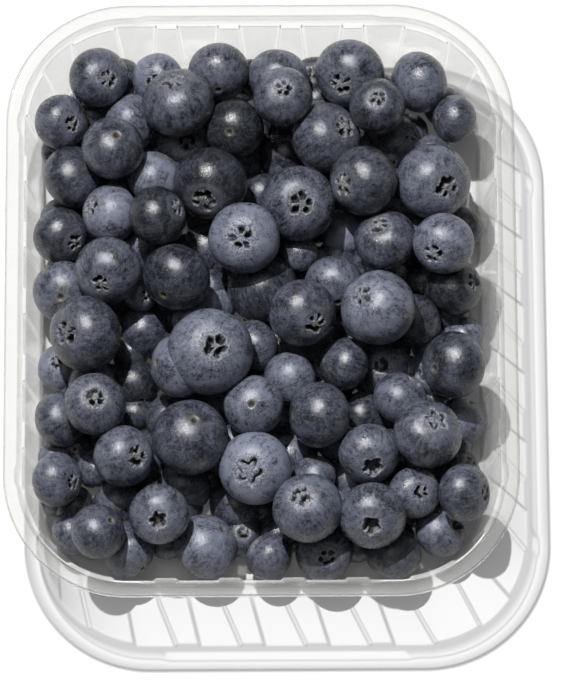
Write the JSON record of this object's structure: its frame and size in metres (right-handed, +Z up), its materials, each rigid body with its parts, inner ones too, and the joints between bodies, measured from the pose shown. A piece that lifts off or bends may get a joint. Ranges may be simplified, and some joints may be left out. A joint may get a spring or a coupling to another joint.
{
  "type": "punnet of blueberries",
  "caption": "Open rectangular clear plastic punnet with round corners and ribbed walls, heaped with fresh blueberries.",
  "frame": {"origin": "under the middle of the punnet's flat base", "axes": "+Z up, +Y along the long side towards the back, +X to the right"},
  "size_m": [0.1196, 0.142, 0.0334],
  "materials": {
    "clear_plastic": "clear thermoformed sheet, glossy",
    "berry_skin": "dark blue skin under a powdery waxy bloom, satin"
  },
  "bodies": {
    "root": {"punnet": "clear_plastic", "blueberries": "berry_skin"}
  },
  "joints": []
}
